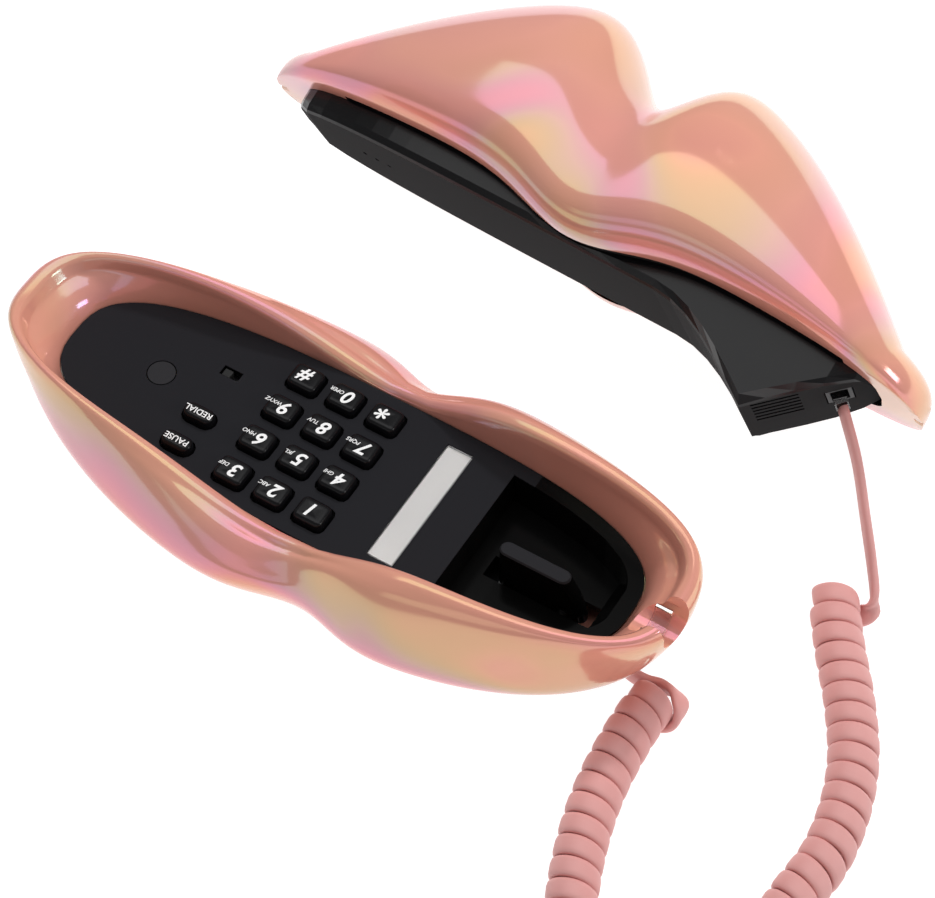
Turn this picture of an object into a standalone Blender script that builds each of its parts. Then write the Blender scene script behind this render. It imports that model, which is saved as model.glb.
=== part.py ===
"""Lips telephone: a lower-lip base with keypad, and an upper-lip handset on a curly cord.

The base stands on its feet and the handset lies on its side behind it, with the cord at
the right. Lengths are in millimetres, made into metres by MM, and +Z is up.
"""

import math

import bmesh
import bpy
from mathutils import Euler, Vector

MM = 0.001
GAP = 0.3  # clearance between neighbouring pieces

# Overall places, in the row's frame
BASE_CENTRE = (-9.2, -58.9)
HANDSET_CENTRE = (12.8, 31.1)
HANDSET_ROLL = -67.0  # degrees about the long axis, handset lying on its far side
HANDSET_YAW = -3.0  # degrees about +Z, away from parallel with the base

# Base shell
SHELL_STEPS = 64
PANEL_Z = 28.0
PANEL_THICK = 2.0
PANEL_LENGTH, PANEL_WIDTH, PANEL_POWER = 91.5, 28.0, 2.9  # half sizes, roundness
LEDGE = 2.1  # how far the shell reaches under the panel
HOLLOW_Z = 23.7  # underside of that ledge
RIM_LENGTH, RIM_WIDTH, RIM_POWER = 105.0, 31.0, 3.2
LEFT_STRETCH = 1.06  # the closed end is longer than the cord's end
BELLY_Z = 19.5
WAIST_X, WAIST_SPREAD = 5.0, 18.0
CLOSED_LENGTH, CLOSED_TAPER = 112.0, 0.15
SHELL_BOTTOM = 2.0
NOTCH_Y, NOTCH_WIDTH, NOTCH_FLOOR = -5.0, 11.0, 33.0

# Bottom cover and what stands on it
COVER_LENGTH, COVER_WIDTH, COVER_POWER = 70.0, 28.2, 2.2
COVER_STEPS = 64
COVER_LOW, COVER_HIGH = 1.5, 4.0
FOOT_RADIUS, FOOT_HIGH = 5.0, 1.2
FOOT_PLACES = ((-50, -14), (-50, 14), (50, -14), (50, 14))
POST_PLACES = ((-60, -10), (-60, 10), (33, -20), (33, 20))
POST_RADIUS, POST_HOLE, POST_HOLE_TOP = 2.7, 1.6, 15.0
HEAD_RADIUS, HEAD_HEIGHT, SHANK_RADIUS, SCREW_LENGTH = 2.5, 1.1, 1.25, 11.0

# Keypad
KEYPAD_X = -15.0
KEY_PITCH_X, KEY_PITCH_Y = 13.6, 12.8
KEY_SIZE = (10.4, 8.8)
FUNCTION_SIZE = (10.6, 6.0)
KEY_HOLE_ROOM = 0.4
KEY_TRAVEL = 1.5
KEY_FLANGE_LOW, KEY_FLANGE_HIGH = 24.5, 25.6
KEY_TOP = 31.0
KEY_ROWS = (("1", "2", "3"), ("4", "5", "6"), ("7", "8", "9"), ("star", "0", "hash"))
FUNCTION_KEYS = {"key_redial": (-48.0, -7.5), "key_pause": (-48.0, -18.8)}

# Other things in the panel
SWITCH_X, SWITCH_Y = -49.0, 10.4
SWITCH_SLOT = (6.4, 3.4)
SWITCH_BODY = (9.2, 6.0)
KNOB_SIZE, KNOB_TRAVEL = (2.6, 2.4), 2.6
PLUG_X, PLUG_RADIUS = -66.5, 4.15
LABEL_LOW_X, LABEL_HIGH_X, LABEL_HALF = 18.2, 26.8, 22.0

# Well and hook lever
WELL_START = 38.0
WELL_FLOOR = 15.0
WELL_LENGTH, WELL_WIDTH = 89.0, 25.6
WELL_SLOPE_START = 81.0
WALL = 2.0
PIVOT_X, PIVOT_Z, PIVOT_HOLE, PIN_RADIUS = 50.0, 10.0, 1.35, 1.0
LEVER_TOP, LEVER_HALF = 28.5, 2.4
LEVER_END_X = 70.8

# Jacks: width, height and where the cord enters
JACK_Y, JACK_LOW, JACK_HIGH = -6.0, 4.6, 11.8
LINE_JACK_Y = 6.0
JACK_WIDTH, LINE_WIDTH = 10.0, 12.0
JACK_MOUTH_X, LINE_MOUTH_X = 89.7, -94.0
JACK_DEPTH, JACK_WALL = 9.5, 1.1
PLUG_SIZE = (11.0, 7.2, 4.0)  # length, width, height
PLUG_INSIDE = 7.5

# Handset, in its own frame: u along, v across, w up when it stands on the base
LIP_LENGTH, LIP_LENGTH_LEFT = 111.0, 116.0
LIP_WIDTH = 45.0
LIP_EDGE_HALF = 31.0
LEFT_HUMP, RIGHT_HUMP, CREASE = 1.21, 1.07, 0.35
LIP_STEPS_U = 44
LIP_STEPS_ARC = 18
LIP_WALL = 2.6
CREASE_U = -2.0
COVER_BOTTOM_W = 3.0
COVER_START_U, COVER_END_U = -104.0, 97.0
COVER_MIDDLE = (COVER_START_U + COVER_END_U) / 2.0
COVER_HALF_U = (COVER_END_U - COVER_START_U) / 2.0
COVER_HALF_V = 24.0
BLOCK_START, BLOCK_U, BLOCK_DEPTH, BLOCK_SLOPE = 28.0, 66.0, 17.5, 0.92
SOCKET_U, SOCKET_V = 87.0, -4.0
EAR_HOLES = (-80.0, -75.5, -71.0)
VOICE_SLOTS = 6

# Curly cord, lying on the surface between the two sockets
LEAD_RADIUS = 2.4
COIL_RADIUS = 7.0
COIL_Z = COIL_RADIUS + GAP
BASE_LEAD = [
    (94.6, -6.0, 8.1), (96.1, -5.9, 7.6), (98.2, -5.5, 6.0), (100.6, -4.9, 4.0),
    (103.5, -3.8, 2.9),
    (108.0, -3.0, 2.9), (112.8, -4.2, 3.6), (116.2, -8.0, 4.9), (116.3, -12.0, 6.2),
    (114.2, -14.0, 6.8),
]
COIL_ROUTE = [
    (105.0, -10.3), (105.2, -25.8), (106.9, -42.5), (110.7, -58.3), (117.0, -75.0),
    (126.0, -91.0), (139.0, -100.0), (152.0, -97.5), (162.0, -85.0), (166.8, -66.0),
    (168.0, -45.0), (169.3, -28.9), (167.0, -13.0), (161.5, 2.5), (152.3, 17.8),
    (142.0, 31.8), (132.5, 46.0),
]
HANDSET_LEAD = [
    (122.0, 75.2, 32.2), (130.6, 65.6, 22.4), (137.0, 58.4, 12.6), (141.4, 53.2, 8.0),
    (143.8, 49.9, 7.0), (141.9, 47.4, 6.9),
]

MATERIALS = {}


def clear_scene():
    for obj in list(bpy.data.objects):
        bpy.data.objects.remove(obj)


def material(name, colour, roughness, metallic=0.0):
    mat = bpy.data.materials.new(name)
    mat.use_nodes = True
    shader = mat.node_tree.nodes["Principled BSDF"]
    shader.inputs["Base Color"].default_value = (*colour, 1.0)
    shader.inputs["Roughness"].default_value = roughness
    shader.inputs["Metallic"].default_value = metallic
    MATERIALS[name] = mat


def make_materials():
    material("pearl_pink", (0.80, 0.42, 0.38), 0.15)
    material("matt_black", (0.03, 0.03, 0.035), 0.5)
    material("gloss_black", (0.012, 0.012, 0.013), 0.2)
    material("rubber_dark", (0.02, 0.02, 0.02), 0.8)
    material("rubber_grey", (0.35, 0.35, 0.34), 0.7)
    material("board_green", (0.03, 0.16, 0.07), 0.5)
    material("steel", (0.55, 0.55, 0.56), 0.35, 1.0)
    material("brass", (0.70, 0.52, 0.22), 0.35, 1.0)
    material("paper_white", (0.85, 0.84, 0.82), 0.7)
    material("clear", (0.90, 0.90, 0.88), 0.08)
    material("cord_pink", (0.76, 0.38, 0.38), 0.45)


# ---------------------------------------------------------------- shape helpers


def oval(t, half_length, half_width, power, left=1.0):
    """A point of an oval outline, squarer as power grows, and longer to the left."""
    c, s = math.cos(t), math.sin(t)
    x = math.copysign(abs(c) ** (2.0 / power), c) * half_length
    y = math.copysign(abs(s) ** (2.0 / power), s) * half_width
    return (x * left if x < 0.0 else x), y


def oval_half(x, half_length, half_width, power):
    """Half width of the oval outline at x."""
    share = min(abs(x) / half_length, 1.0)
    return half_width * (1.0 - share**power) ** (1.0 / power)


def smooth(value, low, high):
    share = min(max((value - low) / (high - low), 0.0), 1.0)
    return share * share * (3.0 - 2.0 * share)


def mesh_object(name, bm, mat, parent=None, smooth_angle=None):
    """Turns a bmesh in millimetres into an object in metres."""
    bmesh.ops.recalc_face_normals(bm, faces=bm.faces[:])
    bmesh.ops.scale(bm, vec=(MM, MM, MM), verts=bm.verts[:])
    mesh = bpy.data.meshes.new(name)
    bm.to_mesh(mesh)
    bm.free()
    obj = bpy.data.objects.new(name, mesh)
    bpy.context.scene.collection.objects.link(obj)
    if mat:
        mesh.materials.append(MATERIALS[mat])
    if smooth_angle:
        mesh.shade_smooth()
        mesh.set_sharp_from_angle(angle=math.radians(smooth_angle))
    obj.parent = parent
    return obj


def add_rings(bm, rings, around=True, caps=True):
    """Skins a list of rings with equal counts of points."""
    rows = [[bm.verts.new(p) for p in ring] for ring in rings]
    count = len(rows[0])
    last = count if around else count - 1
    for low, high in zip(rows, rows[1:]):
        for i in range(last):
            j = (i + 1) % count
            bm.faces.new((low[i], low[j], high[j], high[i]))
    if caps:
        bm.faces.new(list(reversed(rows[0])))
        bm.faces.new(rows[-1])
    return rows


def lofted(name, rings, mat, parent=None, smooth_angle=None):
    bm = bmesh.new()
    add_rings(bm, rings)
    return mesh_object(name, bm, mat, parent, smooth_angle)


def prism(outline, low, high):
    """Two rings of a straight prism along Z."""
    return [[(x, y, z) for x, y in outline] for z in (low, high)]


def circle(radius, centre=(0.0, 0.0), steps=20):
    turn = math.tau / steps
    return [
        (centre[0] + radius * math.cos(i * turn), centre[1] + radius * math.sin(i * turn))
        for i in range(steps)
    ]


def rectangle(size_x, size_y, centre, corner=0.0, corner_steps=3):
    """A rectangle, or one with round corners."""
    hx, hy = size_x / 2.0, size_y / 2.0
    if corner <= 0.0:
        signs = ((1, 1), (-1, 1), (-1, -1), (1, -1))
        return [(centre[0] + hx * a, centre[1] + hy * b) for a, b in signs]
    points = []
    for quarter, (a, b) in enumerate(((1, 1), (-1, 1), (-1, -1), (1, -1))):
        for step in range(corner_steps):
            angle = math.radians(90.0 * quarter + 90.0 * step / (corner_steps - 1))
            points.append(
                (
                    centre[0] + a * (hx - corner) + corner * math.cos(angle),
                    centre[1] + b * (hy - corner) + corner * math.sin(angle),
                )
            )
    return points


def block(name, low, high, mat, parent=None, corner=0.0):
    size = [h - l for l, h in zip(low, high)]
    centre = [(h + l) / 2.0 for l, h in zip(low, high)]
    outline = rectangle(size[0], size[1], centre, corner)
    return lofted(name, prism(outline, low[2], high[2]), mat, parent)


def along_x(rings_yz, name, mat, parent=None, smooth_angle=None):
    """A loft whose rings are (x, [(y, z), ...])."""
    rings = [[(x, y, z) for y, z in ring] for x, ring in rings_yz]
    return lofted(name, rings, mat, parent, smooth_angle)


def change(obj, tool, operation):
    """Adds a Boolean with a tool object, which is then only a guide."""
    tool.hide_render = True
    tool.display_type = "WIRE"
    modifier = obj.modifiers.new(tool.name, "BOOLEAN")
    modifier.operation = operation
    modifier.solver = "EXACT"
    modifier.object = tool


def cutter_of(name, solids, parent=None):
    """One guide object holding several separate solids, each a list of rings."""
    bm = bmesh.new()
    for rings in solids:
        add_rings(bm, rings)
    return mesh_object(name, bm, None, parent)


# ---------------------------------------------------------------- base shell


def rim_height(x):
    """The mouth line: high over both lobes, low in the middle."""
    spread = 38.0 if x < -2.0 else 25.0
    dip = 13.6 * math.exp(-(((x + 2.0) / spread) ** 2))
    return PANEL_Z + 15.0 + 0.02 * x - dip


def shell_levels(rim):
    """Half length, half width, power, height, waist and closed end's taper of each level,
    from the bottom's outer edge over the rim and back down the inside."""
    over = rim - BELLY_Z
    inner_low = PANEL_Z - PANEL_THICK - GAP
    wall_top = rim - 1.7
    wall = wall_top - PANEL_Z
    taper = CLOSED_TAPER
    return (
        (74.0, 32.0, 2.2, SHELL_BOTTOM, 1.0, taper),
        (84.0, 39.5, 2.2, 5.5, 4.5, taper),
        (94.0, 45.3, 2.2, 12.0, 6.5, taper),
        (102.0, 47.4, 2.2, BELLY_Z, 7.0, taper),
        (107.3, 43.0, 2.3, BELLY_Z + 0.45 * over, 6.0, taper),
        (108.6, 38.0, 2.6, BELLY_Z + 0.78 * over, 3.8, taper),
        (107.6, 34.6, 2.9, rim - 1.7, 2.2, 0.8 * taper),
        (106.4, 32.6, 3.1, rim - 0.3, 1.2, 0.7 * taper),
        (RIM_LENGTH, RIM_WIDTH, RIM_POWER, rim, 0.6, 0.6 * taper),
        (103.4, 29.4, 3.3, rim - 0.6, 0.0, 0.5 * taper),
        (102.4, 28.7, 3.3, wall_top - 0.1, 0.0, 0.4 * taper),
        (100.0, 28.5, 3.2, PANEL_Z + 0.55 * wall, 0.0, 0.2 * taper),
        (96.0, 28.4, 3.1, PANEL_Z + 0.16 * wall, 0.0, 0.0),
        (PANEL_LENGTH + GAP, PANEL_WIDTH + GAP, PANEL_POWER, PANEL_Z - 0.4, 0.0, 0.0),
        (PANEL_LENGTH + GAP, PANEL_WIDTH + GAP, PANEL_POWER, inner_low, 0.0, 0.0),
        (PANEL_LENGTH - LEDGE, PANEL_WIDTH - LEDGE, PANEL_POWER, inner_low, 0.0, 0.0),
        (PANEL_LENGTH - LEDGE, PANEL_WIDTH - LEDGE, PANEL_POWER, HOLLOW_Z, 0.0, 0.0),
        (95.0, 30.0, 2.9, HOLLOW_Z, 0.0, 0.5 * taper),
        (98.0, 30.8, 2.9, HOLLOW_Z + 0.45 * (rim - 4.0 - HOLLOW_Z), 0.0, 0.5 * taper),
        (103.0, 38.0, 2.4, BELLY_Z + 0.45 * over - 1.5, 5.0, taper),
        (99.2, 43.8, 2.2, BELLY_Z, 7.0, taper),
        (91.4, 41.8, 2.2, 13.0, 6.5, taper),
        (81.0, 36.2, 2.2, 7.5, 4.5, taper),
        (COVER_LENGTH + GAP, COVER_WIDTH + GAP, COVER_POWER, SHELL_BOTTOM, 0.0, 0.0),
    )


def narrowing(x, drawn_in, width, taper):
    """Scale across at x: the waist between the lobes, and the closed end's taper."""
    waist = drawn_in / width * math.exp(-(((x - WAIST_X) / WAIST_SPREAD) ** 2))
    closed_end = taper * min(x / CLOSED_LENGTH, 0.0) ** 2
    return (1.0 - waist) * (1.0 - closed_end)


def make_base_shell(parent):
    bm = bmesh.new()
    columns = []
    for step in range(SHELL_STEPS):
        t = math.tau * (step + 0.5) / SHELL_STEPS
        rim = rim_height(oval(t, RIM_LENGTH, RIM_WIDTH, RIM_POWER, LEFT_STRETCH)[0])
        column = []
        for length, width, power, z, drawn_in, taper in shell_levels(rim):
            x, y = oval(t, length, width, power, LEFT_STRETCH)
            y *= narrowing(x, drawn_in, width, taper)
            column.append(bm.verts.new((x, y, z)))
        columns.append(column)
    for i, column in enumerate(columns):
        following = columns[(i + 1) % SHELL_STEPS]
        for j in range(len(column)):
            k = (j + 1) % len(column)
            bm.faces.new((column[j], following[j], following[k], column[k]))
    shell = mesh_object("base_shell", bm, "pearl_pink", parent, 40)

    notch = [
        (NOTCH_Y + NOTCH_WIDTH / 2.0 * math.cos(a), NOTCH_FLOOR - NOTCH_WIDTH / 2.0 * math.sin(a))
        for a in [math.pi * i / 8 for i in range(9)]
    ]
    notch = [(y, z + NOTCH_WIDTH / 2.0) for y, z in notch]
    notch += [(notch[-1][0] - 1.5, 60.0), (notch[0][0] + 1.5, 60.0)]
    notch_rings = [[(x, y, z) for y, z in notch] for x in (94.5, 120.0)]
    low, high = JACK_LOW - GAP, JACK_HIGH + GAP
    cord_hole = prism(rectangle(40, JACK_WIDTH + 2 * GAP, (96, JACK_Y)), low, high)
    line_hole = prism(rectangle(40, LINE_WIDTH + 2 * GAP, (-101, LINE_JACK_Y)), low, high)
    cutter = cutter_of("shell_openings", [notch_rings, cord_hole, line_hole], parent)
    change(shell, cutter, "DIFFERENCE")


# ---------------------------------------------------------------- underside


def make_underside(parent):
    outline = [
        oval(math.tau * i / COVER_STEPS, COVER_LENGTH, COVER_WIDTH, COVER_POWER)
        for i in range(COVER_STEPS)
    ]
    cover = lofted("bottom_cover", prism(outline, COVER_LOW, COVER_HIGH), "matt_black", parent)
    holes = []
    for place in POST_PLACES:
        step = COVER_LOW + HEAD_HEIGHT + 0.4
        head_room = prism(circle(HEAD_RADIUS + 0.5, place), COVER_LOW - 1.0, step)
        shank_room = prism(circle(SHANK_RADIUS + 0.45, place), step, COVER_HIGH + 1.0)
        holes.append(head_room + shank_room)
    change(cover, cutter_of("cover_holes", holes, parent), "DIFFERENCE")
    for number, place in enumerate(FOOT_PLACES, 1):
        rings = prism(circle(FOOT_RADIUS, place, 24), 0.0, FOOT_HIGH)
        lofted(f"rubber_foot_{number}", rings, "rubber_dark", parent)
    for number, place in enumerate(POST_PLACES, 1):
        low = COVER_LOW + 0.1
        rings = prism(circle(HEAD_RADIUS, place, 12), low, low + HEAD_HEIGHT)
        rings += prism(circle(SHANK_RADIUS, place, 12), low + HEAD_HEIGHT, low + SCREW_LENGTH)
        lofted(f"cover_screw_{number}", rings, "steel", parent)


# ---------------------------------------------------------------- faceplate


def key_places():
    places = {}
    for row, names in enumerate(KEY_ROWS):
        for column, name in enumerate(names):
            x = KEYPAD_X + (1 - column) * KEY_PITCH_X
            y = (row - 1.5) * KEY_PITCH_Y
            places[f"key_{name}"] = (x, y)
    return places


def well_ring(x, half_width, bottom, top):
    half = oval_half(x, half_width[0], half_width[1], PANEL_POWER)
    return x, [(-half, top), (-half, bottom), (half, bottom), (half, top)]


def well_loft(name, start, length, width, floor, slope_start, top, parent):
    """A tray along the long axis, whose floor climbs at the far end."""
    stations = [start + (slope_start - start) * i / 6 for i in range(7)]
    left = length - 0.4 - slope_start
    stations += [slope_start + left * math.sin(math.pi / 2 * i / 8) for i in range(1, 9)]
    rings = []
    for x in stations:
        bottom = floor + max(0.0, x - slope_start)
        rings.append(well_ring(x, (length, width), bottom, top))
    return along_x(rings, name, "gloss_black", parent)


def make_faceplate(parent):
    outline = [
        oval(math.tau * (i + 0.5) / 72, PANEL_LENGTH, PANEL_WIDTH, PANEL_POWER, LEFT_STRETCH)
        for i in range(72)
    ]
    low = PANEL_Z - PANEL_THICK
    plate = lofted("faceplate", prism(outline, low, PANEL_Z), "matt_black", parent)
    tray = well_loft(
        "well_body",
        WELL_START,
        WELL_LENGTH,
        WELL_WIDTH,
        WELL_FLOOR - WALL,
        WELL_SLOPE_START,
        low + 0.8,
        parent,
    )
    change(plate, tray, "UNION")

    posts = [prism(circle(POST_RADIUS, p, 16), COVER_HIGH + GAP, low + 0.9) for p in POST_PLACES]
    for side in (-1, 1):
        ear = rectangle(7.0, 3.0, (PIVOT_X, side * 5.9))
        posts.append(prism(ear, PIVOT_Z - 2.2, WELL_FLOOR - 0.9))
    change(plate, cutter_of("faceplate_posts", posts, parent), "UNION")

    inside = well_loft(
        "well_inside",
        WELL_START + WALL,
        WELL_LENGTH - WALL,
        WELL_WIDTH - WALL,
        WELL_FLOOR,
        WELL_SLOPE_START - 0.8,
        PANEL_Z + 5.0,
        parent,
    )
    change(plate, inside, "DIFFERENCE")

    holes = []
    room = 2 * KEY_HOLE_ROOM
    for place in key_places().values():
        holes.append(prism(rectangle(KEY_SIZE[0] + room, KEY_SIZE[1] + room, place, 2.0), 20, 40))
    for place in FUNCTION_KEYS.values():
        size = (FUNCTION_SIZE[0] + room, FUNCTION_SIZE[1] + room)
        holes.append(prism(rectangle(*size, place, size[1] / 2 - 0.1, 4), 20, 40))
    holes.append(prism(rectangle(*SWITCH_SLOT, (SWITCH_X, SWITCH_Y)), 20, 40))
    holes.append(prism(circle(PLUG_RADIUS + 0.35, (PLUG_X, 0.0), 24), 20, 40))
    label_x = (LABEL_LOW_X + LABEL_HIGH_X) / 2.0
    label_size = (LABEL_HIGH_X - LABEL_LOW_X, 2 * LABEL_HALF)
    holes.append(prism(rectangle(*label_size, (label_x, 0.0)), PANEL_Z - 1.4, 40))
    for place in POST_PLACES:
        holes.append(prism(circle(POST_HOLE, place, 16), 0.0, 15.0))
    slot_low, slot_high = PIVOT_X - 4.5, LEVER_END_X + 9.5
    slot = rectangle(slot_high - slot_low, 7.4, ((slot_low + slot_high) / 2.0, 0.0))
    holes.append(prism(slot, WELL_FLOOR - WALL - 2.0, WELL_FLOOR + 6.0))
    change(plate, cutter_of("faceplate_holes", holes, parent), "DIFFERENCE")

    turn = circle(PIVOT_HOLE, (PIVOT_X, PIVOT_Z), 12)
    pin_hole = [[(x, y, z) for x, z in turn] for y in (-12.0, 12.0)]
    change(plate, cutter_of("pivot_hole", [pin_hole], parent), "DIFFERENCE")


def make_panel_pieces(parent):
    label_size = (LABEL_HIGH_X - LABEL_LOW_X - 2 * GAP, 2 * LABEL_HALF - 2 * GAP)
    label_outline = rectangle(*label_size, ((LABEL_LOW_X + LABEL_HIGH_X) / 2.0, 0.0))
    card_low = PANEL_Z - 1.4 + GAP
    rings = prism(label_outline, card_low, card_low + 0.3)
    lofted("label_card", rings, "paper_white", parent)
    lofted("label_window", prism(label_outline, card_low + 0.6, PANEL_Z), "clear", parent)
    plug = prism(circle(PLUG_RADIUS, (PLUG_X, 0.0), 24), PANEL_Z - 2.3, PANEL_Z)
    lofted("panel_plug", plug, "matt_black", parent)
    length, width = (size / 2.0 for size in KNOB_SIZE)
    knob_x = SWITCH_X - KNOB_TRAVEL / 2.0
    low = (knob_x - length, SWITCH_Y - width, 23.0)
    high = (knob_x + length, SWITCH_Y + width, 27.3)
    block("ringer_switch_knob", low, high, "matt_black", parent)
    length, width = (size / 2.0 for size in SWITCH_BODY)
    low = (SWITCH_X - length, SWITCH_Y - width, 18.4)
    high = (SWITCH_X + length, SWITCH_Y + width, 22.7)
    block("ringer_switch_body", low, high, "steel", parent)


def make_key(name, place, size, corner, parent):
    flange = [s + 1.6 for s in size]
    levels = (
        (flange, 1.2, KEY_FLANGE_LOW),
        (flange, 1.2, KEY_FLANGE_HIGH),
        (size, corner, KEY_FLANGE_HIGH),
        (size, corner, KEY_TOP - 0.9),
        ([s - 0.7 for s in size], corner - 0.3, KEY_TOP - 0.25),
        ([s - 1.9 for s in size], corner - 0.7, KEY_TOP),
    )
    rings = []
    for ring_size, ring_corner, z in levels:
        outline = rectangle(*ring_size, place, ring_corner)
        rings.append([(x, y, z) for x, y in outline])
    return lofted(name, rings, "gloss_black", parent)


def make_keys(parent):
    for name, place in key_places().items():
        make_key(name, place, KEY_SIZE, 2.0, parent)
    for name, place in FUNCTION_KEYS.items():
        make_key(name, place, FUNCTION_SIZE, FUNCTION_SIZE[1] / 2 - 0.3, parent)


def make_electronics(parent):
    block("main_board", (-56.0, -23.0, 16.5), (28.0, 23.0, 18.1), "board_green", parent)
    mat = block("key_mat", (-55.0, -24.5, 18.4), (7.0, 24.5, 19.9), "rubber_grey", parent)
    domes = []
    for place in list(key_places().values()) + list(FUNCTION_KEYS.values()):
        low_ring = [(x, y, 19.5) for x, y in circle(3.4, place, 12)]
        domes.append([low_ring, [(x, y, 22.6) for x, y in circle(2.0, place, 12)]])
    change(mat, cutter_of("mat_domes", domes, parent), "UNION")
    room = (SWITCH_BODY[0] + 0.8, SWITCH_BODY[1] + 0.8)
    switch_room = prism(rectangle(*room, (SWITCH_X, SWITCH_Y)), 17.0, 25.0)
    change(mat, cutter_of("mat_switch_room", [switch_room], parent), "DIFFERENCE")
    lofted("ringer_disc", prism(circle(7.5, (PLUG_X, 0.0), 24), 20.5, 23.0), "brass", parent)
    block("base_weight", (-56.0, -16.0, 4.4), (24.0, 16.0, 8.4), "steel", parent)
    block("hook_switch", (62.0, -3.0, 4.4), (70.0, 3.0, 9.6), "matt_black", parent)


def make_hook(parent):
    """A fin whose far edge is an arc about its pivot, so that it dips into its slot."""
    reach = math.hypot(LEVER_END_X - PIVOT_X, LEVER_TOP - PIVOT_Z)
    floor_angle = math.asin((12.2 - PIVOT_Z) / reach)
    top_angle = math.atan2(LEVER_TOP - 1.5 - PIVOT_Z, LEVER_END_X - PIVOT_X)
    arc = []
    for i in range(7):
        angle = floor_angle + (top_angle - floor_angle) * i / 6
        arc.append((PIVOT_X + reach * math.cos(angle), PIVOT_Z + reach * math.sin(angle)))
    outline = [(PIVOT_X - 2.4, PIVOT_Z - 1.6), (PIVOT_X + 2.4, PIVOT_Z - 1.6)]
    outline += [(PIVOT_X + 3.4, 12.2)] + arc
    outline += [(LEVER_END_X - 1.5, LEVER_TOP), (PIVOT_X + 1.5, LEVER_TOP)]
    outline += [(PIVOT_X, LEVER_TOP - 1.2), (PIVOT_X - 0.8, LEVER_TOP - 3.0)]
    rings = [[(x, y, z) for x, z in outline] for y in (-LEVER_HALF, LEVER_HALF)]
    lever = lofted("hook_lever", rings, "gloss_black", parent)
    turn = circle(PIVOT_HOLE, (PIVOT_X, PIVOT_Z), 12)
    hole = [[(x, y, z) for x, z in turn] for y in (-12.0, 12.0)]
    change(lever, cutter_of("lever_hole", [hole], parent), "DIFFERENCE")
    turn = circle(PIN_RADIUS, (PIVOT_X, PIVOT_Z), 12)
    pin = [[(x, y, z) for x, z in turn] for y in (-8.0, 8.0)]
    lofted("hook_pivot_pin", pin, "steel", parent)


def make_jack(name, mouth, side, width, parent):
    """A modular jack facing along X, with an open socket. side is 1 for +X."""
    x, y = mouth
    back = x - side * JACK_DEPTH
    lows = (min(x, back), y - width / 2.0, JACK_LOW)
    highs = (max(x, back), y + width / 2.0, JACK_HIGH)
    jack = block(name, lows, highs, "matt_black", parent)
    outline = rectangle(JACK_DEPTH, width - 2 * JACK_WALL, (x - side * 3.5, y))
    socket = prism(outline, JACK_LOW + JACK_WALL, JACK_HIGH - JACK_WALL)
    change(jack, cutter_of(name + "_socket", [socket], parent), "DIFFERENCE")


def make_cord_side(parent):
    make_jack("base_jack", (JACK_MOUTH_X, JACK_Y), 1, JACK_WIDTH, parent)
    make_jack("line_jack", (LINE_MOUTH_X, LINE_JACK_Y), -1, LINE_WIDTH, parent)
    length, width, height = PLUG_SIZE
    start, middle = JACK_MOUTH_X - PLUG_INSIDE, (JACK_LOW + JACK_HIGH) / 2.0
    low = (start, JACK_Y - width / 2.0, middle - height / 2.0)
    high = (start + length, JACK_Y + width / 2.0, middle + height / 2.0)
    block("base_plug", low, high, "clear", parent)
    arc = [math.pi * i / 8 for i in range(9)]
    centre_z = NOTCH_FLOOR + NOTCH_WIDTH / 2.0
    saddle = []
    for radius, angles in ((NOTCH_WIDTH / 2.0 - GAP, arc), (NOTCH_WIDTH / 2.0 - 1.6, arc[::-1])):
        for a in angles:
            saddle.append((NOTCH_Y + radius * math.cos(a), centre_z - radius * math.sin(a)))
    rings = [[(x, y, z) for y, z in saddle] for x in (99.0, 104.0)]
    lofted("notch_guide", rings, "clear", parent)


def make_base():
    parent = bpy.data.objects.new("base_frame", None)
    bpy.context.scene.collection.objects.link(parent)
    parent.location = (BASE_CENTRE[0] * MM, BASE_CENTRE[1] * MM, 0.0)
    make_base_shell(parent)
    make_underside(parent)
    make_faceplate(parent)
    make_panel_pieces(parent)
    make_keys(parent)
    make_electronics(parent)
    make_hook(parent)
    make_cord_side(parent)
    return parent


# ---------------------------------------------------------------- handset


def lip_reach(u, inset=0.0):
    """Half length of the upper lip on u's side."""
    return (LIP_LENGTH if u > 0.0 else LIP_LENGTH_LEFT) - inset


def lip_height(u):
    """Ridge line of the upper lip: two humps with a crease between them."""
    share = max(0.0, 1.0 - (u / (lip_reach(u) + 1.0)) ** 2)
    left = u < CREASE_U
    crease = math.exp(-(((u - CREASE_U) / (19.0 if left else 13.0)) ** 2))
    hump = (LEFT_HUMP if left else RIGHT_HUMP) * share**1.25
    if left:
        hump -= (LEFT_HUMP - RIGHT_HUMP) * crease
    return 14.0 + 57.0 * (hump - CREASE * crease)


def lip_edge(u):
    """Lower edge of the pink shell: dips in the middle to meet the base's rim."""
    dip = 8.2 * math.exp(-((u / 24.0) ** 2))
    return 11.8 - dip - 2.6 * (u / lip_reach(u)) ** 4


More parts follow.
